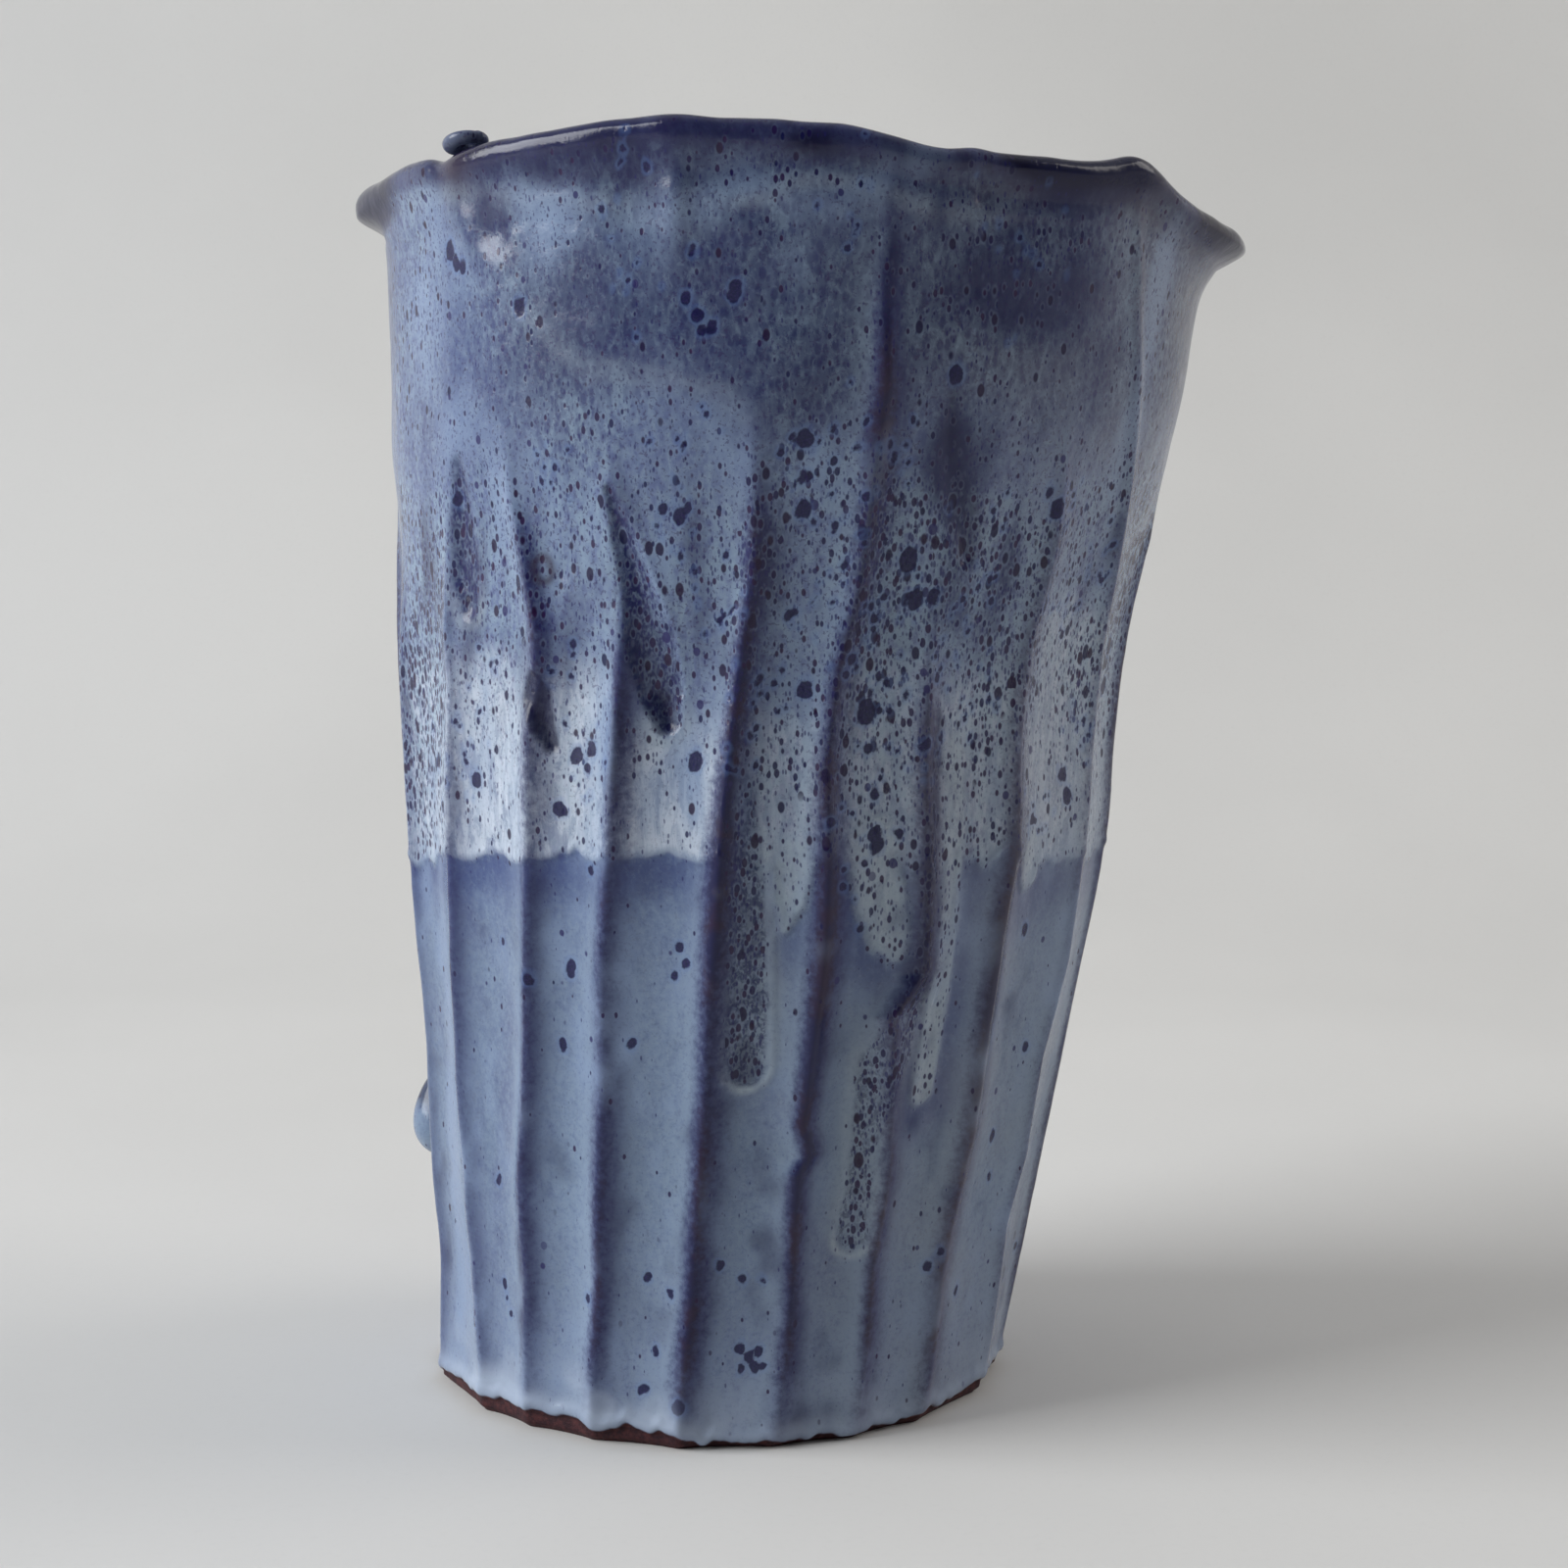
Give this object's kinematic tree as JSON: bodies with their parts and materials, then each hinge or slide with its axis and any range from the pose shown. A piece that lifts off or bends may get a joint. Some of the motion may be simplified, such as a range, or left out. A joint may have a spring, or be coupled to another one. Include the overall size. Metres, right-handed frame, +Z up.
{
  "type": "stoneware pottery vase",
  "caption": "Leaning hand-built stoneware vase with a fluted wall, a wavy pinched rim and a runny speckled blue glaze; holds flowers or water.",
  "frame": {"origin": "centre of the foot, on the surface the vase stands on", "axes": "+Z up; the vase leans and flares towards +X; the side with the smoother rim front faces -Y"},
  "size_m": [0.1454, 0.1408, 0.2039],
  "materials": {
    "clay": "matte",
    "rim_glaze": "gloss",
    "base_glaze": "gloss",
    "dip_glaze": "gloss",
    "run_glaze": "gloss",
    "liner_glaze": "gloss"
  },
  "bodies": {
    "root": {"floor_slab": "clay", "wall": "clay", "foot_joint_coil": "clay", "rim_strip": "rim_glaze", "left_rim_ear": "rim_glaze", "right_rim_ear": "rim_glaze", "rim_fold": "rim_glaze", "rear_lug": "base_glaze", "outer_glaze": "base_glaze", "dip_glaze_coat": "dip_glaze", "glaze_runs": "run_glaze", "liner_glaze": "liner_glaze"}
  },
  "joints": []
}
